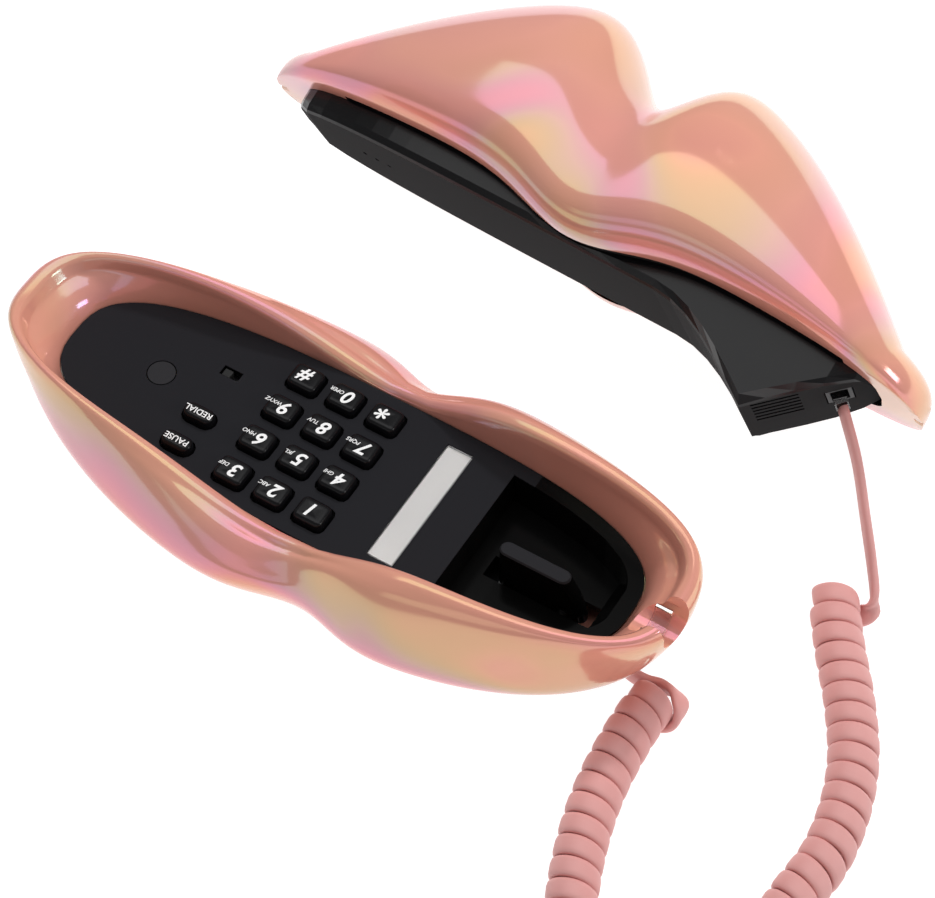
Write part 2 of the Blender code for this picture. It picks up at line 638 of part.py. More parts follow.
def lip_section(u, inset):
    """Points (v, w) of the shell's arch at u, from one lower edge to the other."""
    length = lip_reach(u, inset)
    pinch = 1.0 - 0.07 * math.exp(-(((u - CREASE_U) / 16.0) ** 2))
    belly = oval_half(u, length, LIP_WIDTH - inset, 2.2) * pinch
    edge = min(oval_half(u, length, LIP_EDGE_HALF - inset, 2.6), belly)
    low = lip_edge(u)
    top = max(lip_height(u) - inset, low + 0.5)
    belly_w = low + 0.22 * (top - low)
    points = []
    lower = 4
    for i in range(lower):
        angle = math.pi / 2 * i / lower
        v = edge + (belly - edge) * math.sin(angle)
        w = low + (belly_w - low) * (1.0 - math.cos(angle))
        points.append((v, w))
    upper = LIP_STEPS_ARC // 2 - lower
    for i in range(upper + 1):
        angle = math.pi / 2 * i / upper
        v = belly * max(math.cos(angle), 0.0) ** (2.0 / 2.1)
        w = belly_w + (top - belly_w) * math.sin(angle) ** (2.0 / 2.1)
        points.append((v, w))
    points[-1] = (0.0, points[-1][1])
    return points + [(-v, w) for v, w in reversed(points[:-1])]


def lip_surface(bm, inset):
    """One skin of the upper lip, with a single point at each tip."""
    tip_w = lip_edge(LIP_LENGTH) + 3.0
    left_reach, right_reach = lip_reach(-1.0, inset), lip_reach(1.0, inset)
    start = bm.verts.new((-left_reach, 0.0, tip_w))
    rows = []
    for i in range(1, LIP_STEPS_U):
        share = -math.cos(math.pi * i / LIP_STEPS_U)
        u = share * (right_reach if share > 0.0 else left_reach)
        rows.append([bm.verts.new((u, v, w)) for v, w in lip_section(u, inset)])
    end = bm.verts.new((right_reach, 0.0, tip_w))
    for low, high in zip(rows, rows[1:]):
        for j in range(len(low) - 1):
            bm.faces.new((low[j], high[j], high[j + 1], low[j + 1]))
    for j in range(len(rows[0]) - 1):
        bm.faces.new((start, rows[0][j], rows[0][j + 1]))
        bm.faces.new((end, rows[-1][j + 1], rows[-1][j]))
    left = [start] + [row[0] for row in rows] + [end]
    right = [start] + [row[-1] for row in rows] + [end]
    return left, right


def make_lip_shell(parent):
    bm = bmesh.new()
    outer = lip_surface(bm, 0.0)
    inner = lip_surface(bm, LIP_WALL)
    for a, b in zip(outer, inner):
        for i in range(len(a) - 1):
            bm.faces.new((a[i], a[i + 1], b[i + 1], b[i]))
    return mesh_object("handset_shell", bm, "pearl_pink", parent, 40)


def cover_floor(u):
    """Underside of the black cover, with the mouthpiece block near the cord's end."""
    if u < BLOCK_START:
        return COVER_BOTTOM_W + 2.0 * smooth(-u, 97.0, 104.0)
    if u < BLOCK_U:
        share = smooth(u, BLOCK_START, 2 * BLOCK_U - BLOCK_START) * 2.0
        return COVER_BOTTOM_W - BLOCK_DEPTH * share
    return COVER_BOTTOM_W - BLOCK_DEPTH + (u - BLOCK_U) * BLOCK_SLOPE


def cover_half(u, inset):
    return oval_half(u - COVER_MIDDLE, COVER_HALF_U - inset, COVER_HALF_V - inset, 3.4)


def cover_ring(u, inset, flange):
    """A section of the cover. With flange it also has the ledge inside the shell."""
    half = cover_half(u, inset)
    floor = cover_floor(u) + inset
    depth = max(0.0, COVER_BOTTOM_W - cover_floor(u)) / BLOCK_DEPTH
    low_half = half * (0.95 - 0.22 * depth)
    knee = min(floor + 2.5, lip_edge(u) + 0.2)
    bottom = [(-half, knee), (-low_half, floor + 0.6), (-low_half + 1.0, floor)]
    bottom += [(low_half - 1.0, floor), (low_half, floor + 0.6), (half, knee)]
    ledge = lip_edge(u) + 1.0
    if flange:
        reach = lip_reach(u, LIP_WALL + GAP)
        wide = oval_half(u, reach, LIP_EDGE_HALF - LIP_WALL - 0.4, 2.6)
        wide = max(wide, half + 0.1)
        left = [(-wide, ledge + 2.0), (-wide, ledge), (-half, ledge - 0.3)]
        right = [(half, ledge - 0.3), (wide, ledge), (wide, ledge + 2.0)]
    else:
        left = [(-half, ledge + 8.0), (-half, ledge), (-half, ledge - 0.3)]
        right = [(half, ledge - 0.3), (half, ledge), (half, ledge + 8.0)]
    return u, left + bottom + right


def block_point(along, out, v):
    """A point by its place on the mouthpiece block's sloping face: up the slope from
    the cord's socket, out from the face, and across."""
    norm = math.hypot(1.0, BLOCK_SLOPE)
    slope = (1.0 / norm, BLOCK_SLOPE / norm)
    face_w = COVER_BOTTOM_W - BLOCK_DEPTH + (SOCKET_U - BLOCK_U) * BLOCK_SLOPE
    u = SOCKET_U + along * slope[0] + out * slope[1]
    w = face_w + along * slope[1] - out * slope[0]
    return u, v, w


def sloped_box(along, out, across):
    """Two rings of a box that stands square to the sloping face."""
    corners = [(a, v) for a, v in rectangle(along[1] - along[0], across[1] - across[0],
               ((along[0] + along[1]) / 2.0, (across[0] + across[1]) / 2.0))]
    return [[block_point(a, level, v) for a, v in corners] for level in out]


def make_handset_cover(parent):
    stations = [COVER_START_U + 0.2, COVER_START_U + 1.2, COVER_START_U + 3.0]
    steps = 32
    for i in range(1, steps):
        stations.append(COVER_START_U + (COVER_END_U - COVER_START_U) * i / steps)
    stations += [BLOCK_U, COVER_END_U - 1.0, COVER_END_U - 0.2]
    stations = sorted(set(stations))
    outer = [cover_ring(u, 0.0, True) for u in stations]
    cover = along_x(outer, "handset_cover", "gloss_black", parent)
    inner_stations = [u for u in stations if COVER_START_U + 3.0 < u < COVER_END_U - 3.0]
    inner = [cover_ring(u, 2.0, False) for u in inner_stations]
    change(cover, along_x(inner, "cover_inside", None, parent), "DIFFERENCE")

    holes = []
    for u in EAR_HOLES:
        holes.append(prism(circle(0.8, (u, 0.0), 8), -2.0, 8.0))
    for i in range(VOICE_SLOTS):
        v = -14.0 + 2.9 * i
        holes.append(sloped_box((-25.0, -11.0), (-6.0, 3.0), (v - 0.6, v + 0.6)))
    half = JACK_WIDTH / 2.0 + GAP
    holes.append(sloped_box((-4.2, 4.2), (-14.0, 4.0), (SOCKET_V - half, SOCKET_V + half)))
    change(cover, cutter_of("cover_holes_handset", holes, parent), "DIFFERENCE")
    return cover


def make_handset_insides(parent):
    floor = COVER_BOTTOM_W + 2.0 + GAP + 0.1
    lofted("ear_receiver", prism(circle(13.0, (EAR_HOLES[1], 0.0), 24), floor, 12.0),
           "steel", parent)
    block("handset_weight", (-40.0, -14.0, floor), (12.0, 14.0, 12.0), "steel", parent)
    mic = prism(circle(4.0, (BLOCK_U - 3.0, 0.0), 16), -7.0, -3.0)
    lofted("microphone", mic, "steel", parent)
    across = (SOCKET_V - JACK_WIDTH / 2.0, SOCKET_V + JACK_WIDTH / 2.0)
    rings = sloped_box((-3.8, 3.8), (-JACK_DEPTH, 0.0), across)
    jack = lofted("handset_jack", rings, "matt_black", parent)
    length, width, height = PLUG_SIZE
    room = (SOCKET_V - width / 2.0 - 0.6, SOCKET_V + width / 2.0 + 0.6)
    socket = sloped_box((-2.6, 2.6), (-8.0, 2.0), room)
    change(jack, cutter_of("handset_jack_socket", [socket], parent), "DIFFERENCE")
    across = (SOCKET_V - width / 2.0, SOCKET_V + width / 2.0)
    out = (-PLUG_INSIDE, length - PLUG_INSIDE)
    rings = sloped_box((-height / 2.0, height / 2.0), out, across)
    lofted("handset_plug", rings, "clear", parent)


def make_handset():
    parent = bpy.data.objects.new("handset_frame", None)
    bpy.context.scene.collection.objects.link(parent)
    shell = make_lip_shell(parent)
    make_handset_cover(parent)
    make_handset_insides(parent)
    roll = Euler((math.radians(HANDSET_ROLL), 0.0, math.radians(HANDSET_YAW)))
    lowest = min((roll.to_matrix() @ v.co).z for v in shell.data.vertices)
    parent.rotation_euler = roll
    parent.location = (HANDSET_CENTRE[0] * MM, HANDSET_CENTRE[1] * MM, -lowest)
    return parent


# ---------------------------------------------------------------- curly cord


def smooth_route(points, spacing):
    """Evenly spaced points on a smooth curve through the given ones."""
    knots = [Vector(p) for p in points]
    ends = [knots[0] * 2.0 - knots[1]] + knots + [knots[-1] * 2.0 - knots[-2]]
    fine = []
    for i in range(1, len(ends) - 2):
        a, b, c, d = ends[i - 1 : i + 3]
        for step in range(20):
            t = step / 20.0
            fine.append(
                0.5 * (2.0 * b + (c - a) * t + (2.0 * a - 5.0 * b + 4.0 * c - d) * t**2
                       + (3.0 * b - a - 3.0 * c + d) * t**3)
            )
    fine.append(knots[-1])
    total = sum((q - p).length for p, q in zip(fine, fine[1:]))
    count = max(2, round(total / spacing))
    route, walked, due = [fine[0]], 0.0, total / count
    for p, q in zip(fine, fine[1:]):
        step = (q - p).length
        while walked + step >= due - 1e-6 and len(route) < count:
            route.append(p.lerp(q, (due - walked) / step))
            due += total / count
        walked += step
    route.append(fine[-1])
    return route


def cord_tube(name, points, radius, spacing):
    curve = bpy.data.curves.new(name, "CURVE")
    curve.dimensions = "3D"
    curve.bevel_depth = radius * MM
    curve.bevel_resolution = 2
    curve.render_resolution_u = 0
    curve.use_fill_caps = True
    route = smooth_route(points, spacing)
    spline = curve.splines.new("POLY")
    spline.points.add(len(route) - 1)
    for point, place in zip(spline.points, route):
        point.co = (*(place * MM), 1.0)
    obj = bpy.data.objects.new(name, curve)
    bpy.context.scene.collection.objects.link(obj)
    curve.materials.append(MATERIALS["cord_pink"])
    return obj


def make_cord(handset):
    """Lies on the surface: straight lead, fat tube of the coil, straight lead."""
    base = Vector((*BASE_CENTRE, 0.0))
    cord_tube("base_lead", [base + Vector(p) for p in BASE_LEAD], LEAD_RADIUS, 4.5)
    coil = [base + Vector((x, y, COIL_Z)) for x, y in COIL_ROUTE]
    cord_tube("cord_coil", coil, COIL_RADIUS, 6.5)
    turn = handset.rotation_euler.to_matrix()
    place = handset.location / MM
    plug_end = PLUG_SIZE[0] - PLUG_INSIDE
    lead = []
    for out in (plug_end + GAP, plug_end + 4.5):
        lead.append(place + turn @ Vector(block_point(0.0, out, SOCKET_V)))
    lead += [base + Vector(p) for p in HANDSET_LEAD]
    cord_tube("handset_lead", lead, LEAD_RADIUS, 5.0)


def main():
    clear_scene()
    make_materials()
    make_base()
    make_cord(make_handset())


main()
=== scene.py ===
"""Looks for the lips telephone: pearl shells, keypad, curly cord, floor and lights."""

import math

import bmesh
import bpy
from mathutils import Euler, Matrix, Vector


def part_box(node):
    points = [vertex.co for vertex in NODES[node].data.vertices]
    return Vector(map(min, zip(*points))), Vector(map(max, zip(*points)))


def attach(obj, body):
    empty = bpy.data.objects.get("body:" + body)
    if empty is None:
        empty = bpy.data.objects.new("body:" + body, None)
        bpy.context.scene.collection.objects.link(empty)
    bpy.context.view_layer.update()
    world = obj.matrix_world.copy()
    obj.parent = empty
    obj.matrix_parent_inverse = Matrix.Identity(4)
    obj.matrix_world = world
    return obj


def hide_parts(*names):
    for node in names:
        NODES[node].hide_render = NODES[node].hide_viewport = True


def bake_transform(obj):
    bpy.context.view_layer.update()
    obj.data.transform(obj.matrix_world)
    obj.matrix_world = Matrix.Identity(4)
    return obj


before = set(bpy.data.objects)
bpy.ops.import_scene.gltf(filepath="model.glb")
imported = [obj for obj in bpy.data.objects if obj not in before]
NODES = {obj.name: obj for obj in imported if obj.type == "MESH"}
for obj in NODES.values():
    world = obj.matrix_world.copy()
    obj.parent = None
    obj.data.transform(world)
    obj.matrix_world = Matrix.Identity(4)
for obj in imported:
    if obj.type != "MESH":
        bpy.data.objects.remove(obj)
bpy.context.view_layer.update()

MM = 0.001
GAP = 0.3

# ---------------------------------------------------------------- places, as in the CAD (mm)

BASE_CENTRE = (-9.2, -58.9)
HANDSET_CENTRE = (12.8, 31.1)
HANDSET_ROLL, HANDSET_YAW = -67.0, -3.0

PANEL_Z = 28.0
PANEL_LENGTH, PANEL_WIDTH, PANEL_POWER = 91.5, 28.0, 2.9
LEDGE = 2.1
WELL_START = 38.0
PIVOT_X, PIVOT_Z = 50.0, 10.0
LEVER_TOP, LEVER_HALF, LEVER_END_X = 28.5, 2.4, 70.8
FIN_LOW, FIN_BACK, FIN_STRAIGHT, FIN_EDGE, FIN_INWARD = 12.4, 0.8, 1.2, 0.5, 0.4
# the handset's black cover, along and across the handset
COVER_MIDDLE, COVER_HALF_U, COVER_HALF_V, COVER_POWER = -3.5, 100.5, 24.0, 3.4
TIP_START = 86.0
NOSE_HEIGHT = 19.0
JACK_LOW, JACK_HIGH, JACK_WALL, JACK_SLOPE = 4.6, 11.8, 1.1, 1.5
RIM_LENGTH, RIM_WIDTH, RIM_POWER = 105.0, 31.0, 3.2
LEFT_STRETCH = 1.06
BELLY_Z = 19.5
WAIST_X, WAIST_SPREAD = 5.0, 18.0
CLOSED_LENGTH, CLOSED_TAPER = 112.0, 0.15
SHELL_BOTTOM = 2.0
# the base's bottom cover
COVER_LENGTH, COVER_WIDTH = 70.0, 28.2
NOTCH_Y, NOTCH_WIDTH, NOTCH_FLOOR = -5.0, 11.0, 33.0

LIP_LENGTH, LIP_LENGTH_LEFT = 111.0, 116.0
LIP_WIDTH, LIP_EDGE_HALF, LIP_WALL = 45.0, 31.0, 2.6
CREASE_U = -2.0

KEYPAD_X = -15.0
KEY_PITCH_X, KEY_PITCH_Y = 13.6, 12.8
KEY_SIZE, FUNCTION_SIZE = (10.4, 8.8), (10.6, 6.0)
KEY_FLANGE_LOW, KEY_FLANGE_HIGH, KEY_TOP = 24.5, 25.6, 31.0
FUNCTION_KEYS = {"redial": (-48.0, -7.5), "pause": (-48.0, -18.8)}

# ---------------------------------------------------------------- helpers


def oval(t, half_length, half_width, power, left=1.0):
    """A point at angle t on a squared-off oval, stretched by left where x is negative."""
    c, s = math.cos(t), math.sin(t)
    x = math.copysign(abs(c) ** (2.0 / power), c) * half_length
    y = math.copysign(abs(s) ** (2.0 / power), s) * half_width
    return (x * left if x < 0.0 else x), y


def oval_half(x, half_length, half_width, power):
    """The squared-off oval's half width at x."""
    share = min(abs(x) / half_length, 1.0)
    return half_width * (1.0 - share**power) ** (1.0 / power)


def smooth(value, low, high):
    """0 below low, 1 above high, and an eased step between them."""
    share = min(max((value - low) / (high - low), 0.0), 1.0)
    return share * share * (3.0 - 2.0 * share)


def spline(a, b, c, d, t):
    """A smooth curve from b to c with a before and d after them, at share t of the way."""
    return 0.5 * (2.0 * b + (c - a) * t + (2.0 * a - 5.0 * b + 4.0 * c - d) * t**2
                  + (3.0 * b - a - 3.0 * c + d) * t**3)


def curve_through(points, parts):
    """Points on a smooth curve through the given ones, parts to each stretch."""
    knots = [Vector(p) for p in points]
    ends = [knots[0] * 2.0 - knots[1]] + knots + [knots[-1] * 2.0 - knots[-2]]
    fine = []
    for i in range(1, len(ends) - 2):
        a, b, c, d = ends[i - 1 : i + 3]
        for step in range(parts):
            fine.append(spline(a, b, c, d, step / parts))
    fine.append(knots[-1])
    return fine


def evenly(points, count):
    """count + 1 evenly spaced points along a chain of close points."""
    total = sum((q - p).length for p, q in zip(points, points[1:]))
    route, walked, due = [points[0].copy()], 0.0, total / count
    for p, q in zip(points, points[1:]):
        step = (q - p).length
        while walked + step >= due - 1e-9 and len(route) < count:
            route.append(p.lerp(q, (due - walked) / step))
            due += total / count
        walked += step
    route.append(points[-1].copy())
    return route, total


def piece(name, bm, mat, place=None, sharp=None):
    """A bmesh in millimetres becomes an object in metres. place moves it first."""
    if place is not None:
        bmesh.ops.transform(bm, matrix=place, verts=bm.verts[:])
    bmesh.ops.recalc_face_normals(bm, faces=bm.faces[:])
    bmesh.ops.scale(bm, vec=(MM, MM, MM), verts=bm.verts[:])
    mesh = bpy.data.meshes.new(name)
    bm.to_mesh(mesh)
    bm.free()
    mesh.shade_smooth()
    if sharp:
        mesh.set_sharp_from_angle(angle=math.radians(sharp))
    obj = bpy.data.objects.new(name, mesh)
    bpy.context.scene.collection.objects.link(obj)
    mesh.materials.append(mat)
    return obj


def skin(bm, rings):
    """Joins closed rings of points in order, and closes both ends."""
    rows = [[bm.verts.new(p) for p in ring] for ring in rings]
    count = len(rows[0])
    for low, high in zip(rows, rows[1:]):
        for i in range(count):
            j = (i + 1) % count
            bm.faces.new((low[i], low[j], high[j], high[i]))
    bm.faces.new(list(reversed(rows[0])))
    bm.faces.new(rows[-1])


def rounded(size_x, size_y, corner, steps=7):
    """A rectangle with round corners, about the origin."""
    points = []
    for quarter, (a, b) in enumerate(((1, 1), (-1, 1), (-1, -1), (1, -1))):
        for step in range(steps):
            angle = math.radians(90.0 * quarter + 90.0 * step / (steps - 1))
            points.append(
                (a * (size_x / 2.0 - corner) + corner * math.cos(angle),
                 b * (size_y / 2.0 - corner) + corner * math.sin(angle))
            )
    return points


def on_base(x, y, z):
    """A point of the base's own plan, in the row's frame (mm)."""
    return x + BASE_CENTRE[0], y + BASE_CENTRE[1], z


def base_place(x, y, z):
    """A point of the base's own plan, in the row's frame, in metres."""
    return Vector([value * MM for value in on_base(x, y, z)])


# ---------------------------------------------------------------- materials


def material(name, colour, roughness, metallic=0.0, coat=0.0, coat_roughness=0.03, specular=0.5):
    mat = bpy.data.materials.new(name)
    mat.use_nodes = True
    shader = mat.node_tree.nodes["Principled BSDF"]
    shader.inputs["Base Color"].default_value = (*colour, 1.0)
    shader.inputs["Roughness"].default_value = roughness
    shader.inputs["Metallic"].default_value = metallic
    shader.inputs["Coat Weight"].default_value = coat
    shader.inputs["Coat Roughness"].default_value = coat_roughness
    shader.inputs["Specular IOR Level"].default_value = specular
    return mat


def pearl(name):
    """Pink pearl lacquer: an interference film, uneven in thickness, under clear coat."""
    mat = material(name, (0.86, 0.37, 0.28), 0.12, metallic=0.10, coat=0.1)
    tree = mat.node_tree
    shader = tree.nodes["Principled BSDF"]
    shader.inputs["Thin Film IOR"].default_value = 1.85
    coordinates = tree.nodes.new("ShaderNodeTexCoord")
    clouds = tree.nodes.new("ShaderNodeTexNoise")
    clouds.inputs["Scale"].default_value = 15.0
    clouds.inputs["Detail"].default_value = 1.0
    clouds.inputs["Distortion"].default_value = 0.6
    film = tree.nodes.new("ShaderNodeMapRange")
    film.inputs["From Min"].default_value = 0.3
    film.inputs["From Max"].default_value = 0.7
    film.inputs["To Min"].default_value = 290.0
    film.inputs["To Max"].default_value = 425.0
    tree.links.new(coordinates.outputs["Object"], clouds.inputs["Vector"])
    tree.links.new(clouds.outputs[0], film.inputs["Value"])
    tree.links.new(film.outputs[0], shader.inputs["Thin Film Thickness"])
    return mat


PEARL = pearl("pearl")
MATT_BLACK = material("matt_black", (0.016, 0.016, 0.019), 0.5, specular=0.3)
GLOSS_BLACK = material("gloss_black", (0.005, 0.005, 0.006), 0.22, specular=0.25)
CORD = material("cord_pink", (0.74, 0.36, 0.34), 0.5)
INK = material("white_ink", (0.95, 0.95, 0.95), 0.5)
RUBBER = material("rubber_dark", (0.02, 0.02, 0.02), 0.8)
STEEL = material("steel", (0.55, 0.55, 0.56), 0.35, metallic=1.0)
CARD = material("paper_white", (0.95, 0.93, 0.93), 0.7)
FLOOR = material("floor_white", (0.3, 0.3, 0.3), 0.9, specular=0.0)
floor_shader = FLOOR.node_tree.nodes["Principled BSDF"]
floor_shader.inputs["Emission Color"].default_value = (1.0, 1.0, 1.0, 1.0)
floor_shader.inputs["Emission Strength"].default_value = 0.95


def clear_plastic(name):
    mat = material(name, (0.95, 0.95, 0.94), 0.05)
    shader = mat.node_tree.nodes["Principled BSDF"]
    shader.inputs["Transmission Weight"].default_value = 1.0
    shader.inputs["IOR"].default_value = 1.3
    return mat


CLEAR = clear_plastic("clear")


def two_blacks(name, dark, light, specular, tests, by_normal=False):
    """Lighter where all tests pass on the place on the object, or on which way it faces; where dark
    and light differ in colour, that difference is painted light and shade.
    dark and light are each a colour and a roughness, and there are one or two tests."""
    mat = material(name, *light, specular=specular)
    tree = mat.node_tree
    shader = tree.nodes["Principled BSDF"]
    parts = tree.nodes.new("ShaderNodeSeparateXYZ")
    if by_normal:
        geometry = tree.nodes.new("ShaderNodeNewGeometry")
        tree.links.new(geometry.outputs["Normal"], parts.inputs[0])
    else:
        coordinates = tree.nodes.new("ShaderNodeTexCoord")
        tree.links.new(coordinates.outputs["Object"], parts.inputs[0])
    both = tree.nodes.new("ShaderNodeMath")
    both.operation = "MULTIPLY"
    both.inputs[1].default_value = 1.0
    for i, (axis, operation, limit) in enumerate(tests):
        test = tree.nodes.new("ShaderNodeMath")
        test.operation = operation
        test.inputs[1].default_value = limit
        tree.links.new(parts.outputs[axis], test.inputs[0])
        tree.links.new(test.outputs[0], both.inputs[i])
    colour = tree.nodes.new("ShaderNodeMix")
    colour.data_type = "RGBA"
    colour.inputs[6].default_value = (*dark[0], 1.0)
    colour.inputs[7].default_value = (*light[0], 1.0)
    gloss = tree.nodes.new("ShaderNodeMapRange")
    gloss.inputs["To Min"].default_value = dark[1]
    gloss.inputs["To Max"].default_value = light[1]
    tree.links.new(both.outputs[0], colour.inputs[0])
    tree.links.new(both.outputs[0], gloss.inputs["Value"])
    tree.links.new(colour.outputs[2], shader.inputs["Base Color"])
    tree.links.new(gloss.outputs[0], shader.inputs["Roughness"])
    return mat


# The well's black is darker than the panel's: painted shade for the shadow down in the well, also on
# the lever below its top; the well's lower roughness is its real gloss.
WELL_SHADE_BLACK = (0.003, 0.003, 0.003)
PANEL_BLACK = (0.016, 0.016, 0.019)
# The lever's top is lighter than its sides: painted light on the top face that the lamps light from
# above.
LEVER_TOP_LIT_BLACK = (0.022, 0.022, 0.025)
UNDERSIDE_BLACK = (0.006, 0.006, 0.007)

# Painted shade: the faceplate is one black plastic, painted darker in the well past WELL_START and
# below the panel's top.
FACEPLATE = two_blacks(
    "faceplate_black_shaded_well", (WELL_SHADE_BLACK, 0.18), (PANEL_BLACK, 0.5), 0.08,
    (("Z", "GREATER_THAN", (PANEL_Z - 0.4) * MM), ("X", "LESS_THAN", WELL_START * MM)),
)
# Painted light and shade: the lever is one black plastic, painted lighter on its top and darker below
# it.
LEVER = two_blacks(
    "lever_black_lit_top", (WELL_SHADE_BLACK, 0.18), (LEVER_TOP_LIT_BLACK, 0.5), 0.08,
    (("Z", "GREATER_THAN", (LEVER_TOP - 0.6) * MM),),
)
COVER_BLACK = two_blacks(
    "cover_black", (UNDERSIDE_BLACK, 1.0), (UNDERSIDE_BLACK, 0.2), 0.3,
    (("Z", "GREATER_THAN", 0.0),), by_normal=True,
)

LOOKS = {
    "faceplate": FACEPLATE,
    "bottom_cover": MATT_BLACK,
    "panel_plug": MATT_BLACK,
    "handset_cover": COVER_BLACK,
    "handset_jack": MATT_BLACK,
    "handset_plug": CLEAR,
    "base_plug": CLEAR,
    "notch_guide": CLEAR,
    "label_window": CLEAR,
    "label_card": CARD,
    "ringer_switch_knob": RUBBER,
    "ringer_switch_body": STEEL,
}
for node, look in LOOKS.items():
    NODES[node].data.materials.clear()
    NODES[node].data.materials.append(look)

# ---------------------------------------------------------------- camera

AZIMUTH, ELEVATION = math.radians(31.5), math.radians(54.7)
TARGET = Vector((0.0043, -0.0186, 0.0))
CAMERA_DISTANCE, LENS = 0.95, 122.9
BACK = Vector(
    (math.sin(AZIMUTH) * math.cos(ELEVATION), -math.cos(AZIMUTH) * math.cos(ELEVATION),
     math.sin(ELEVATION))
)
camera = bpy.data.cameras.new("camera")
camera.lens = LENS
camera.sensor_width = 36.0
camera.clip_start = 0.01
camera_object = bpy.data.objects.new("camera", camera)
bpy.context.scene.collection.objects.link(camera_object)
camera_object.location = TARGET + BACK * CAMERA_DISTANCE
camera_object.rotation_euler = BACK.to_track_quat("Z", "Y").to_euler()
bpy.context.scene.camera = camera_object

# ---------------------------------------------------------------- curly cord

WIRE_WIDTH, WIRE_THICK, WIRE_SIDES = 6.2, 2.6, 12
WIDE_SQUARING, THICK_SQUARING = 0.55, 0.75
COIL_RADIUS, TURN_PITCH = 7.0, 6.45
COIL_Z = COIL_RADIUS + GAP
TURN_RADIUS = COIL_RADIUS - WIRE_THICK / 2.0 + 0.3
COIL_ROUTE = [
    (105.0, -10.3), (105.2, -25.8), (106.9, -42.5), (110.7, -58.3), (117.0, -75.0),
    (126.0, -91.0), (139.0, -100.0), (152.0, -97.5), (162.0, -85.0), (166.8, -66.0),
    (168.0, -45.0), (169.3, -28.9), (167.0, -13.0), (161.5, 2.5), (152.3, 17.8),
    (142.0, 31.8), (132.5, 46.0),
]
BASE_LEAD = [
    (94.4, -6.0, 8.1), (97.4, -5.8, 6.6), (101.0, -5.2, 5.8), (105.4, -4.6, 6.6),
    (109.8, -5.4, 7.6), (112.8, -7.8, 7.0), (113.2, -10.6, 4.2), (110.6, -12.2, 1.9),
    (105.4, -12.2, 1.5), (100.6, -11.6, 2.6),
]
HANDSET_LEAD = [
    (130.0, 47.6, 1.6), (134.6, 46.4, 1.5), (139.4, 46.8, 1.9), (142.6, 48.8, 4.4),
    (142.2, 52.4, 8.2), (137.6, 58.4, 13.4), (130.8, 65.6, 22.4), (122.0, 75.2, 32.2),
]
TURN_PARTS = 30
LEAD_PARTS = 6
TWIST_FROM, TWIST_TO = 0.25, 0.6
BEND_ROUNDS, BEND_REACH = 14, 16
PLUG_DIRECTION, PLUG_REACH = (0.677, 0.0, -0.736), 5.8


def ease_bend(path, joint):
    """Rounds off the path where a straight lead runs into the coil."""
    for _ in range(BEND_ROUNDS):
        before = list(path)
        for i in range(joint - BEND_REACH, joint + BEND_REACH + 1):
            fade = math.cos(math.pi / 2 * (i - joint) / (BEND_REACH + 1)) ** 2
            path[i] = before[i].lerp((before[i - 1] + before[i + 1]) / 2.0, 0.5 * fade)


def cord_path():
    """The cord's middle line in the row's frame (mm), and which way its flat side faces."""
    shift = Vector((*BASE_CENTRE, 0.0))
    fine = curve_through([(x, y, COIL_Z) for x, y in COIL_ROUTE], TURN_PARTS)
    length = sum((q - p).length for p, q in zip(fine, fine[1:]))
    turns = round(length / TURN_PITCH) - 0.5
    steps = round(turns * TURN_PARTS)
    axis, length = evenly(fine, steps)
    up = Vector((0.0, 0.0, 1.0))
    coil, along = [], []
    for i, point in enumerate(axis):
        tangent = (axis[min(i + 1, steps)] - axis[max(i - 1, 0)]).normalized()
        side = up.cross(tangent)
        angle = 1.5 * math.pi + math.tau * turns * i / steps
        coil.append(point + TURN_RADIUS * (math.cos(angle) * up + math.sin(angle) * side))
        along.append(tangent)
    start = curve_through(BASE_LEAD + coil[:1], LEAD_PARTS)[:-1]
    end = curve_through(coil[-1:] + HANDSET_LEAD + [handset_plug_end()], LEAD_PARTS)[1:]
    hints = []
    for i in range(len(start)):
        hints.append(up.lerp(along[0], smooth(i / len(start), TWIST_FROM, TWIST_TO)))
    hints += along
    for i in range(len(end)):
        hints.append(along[-1].lerp(up, smooth(i / len(end), TWIST_FROM, TWIST_TO)))
    path = [p + shift for p in start + coil + end]
    for joint in (len(start), len(start) + len(coil) + 2):
        ease_bend(path, joint)
    return path, hints


def handset_turn():
    """How the handset is turned where it lies."""
    return Euler((math.radians(HANDSET_ROLL), 0.0, math.radians(HANDSET_YAW))).to_matrix()


def handset_plug_end():
    """Where the plug in the handset ends, in the base's plan (mm)."""
    low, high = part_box("handset_plug")
    middle = (low + high) / 2.0 / MM - Vector((*BASE_CENTRE, 0.0))
    return middle + handset_turn() @ Vector(PLUG_DIRECTION) * PLUG_REACH


def make_cord():
    """The flat wire along the cord's whole path, from plug to plug."""
    path, hints = cord_path()
    rings = []
    for i, point in enumerate(path):
        tangent = (path[min(i + 1, len(path) - 1)] - path[max(i - 1, 0)]).normalized()
        wide = (hints[i] - hints[i].dot(tangent) * tangent).normalized()
        thick = tangent.cross(wide)
        ring = []
        for k in range(WIRE_SIDES):
            angle = math.tau * (k + 0.5) / WIRE_SIDES
            c, s = math.cos(angle), math.sin(angle)
            a = math.copysign(abs(c) ** WIDE_SQUARING, c) * WIRE_WIDTH / 2.0
            b = math.copysign(abs(s) ** THICK_SQUARING, s) * WIRE_THICK / 2.0
            ring.append(point + a * wide + b * thick)
        rings.append(ring)
    bm = bmesh.new()
    skin(bm, rings)
    cord = piece("curly_cord", bm, CORD)
    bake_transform(cord)
    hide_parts("base_lead", "cord_coil", "handset_lead")


make_cord()

# ---------------------------------------------------------------- base shell

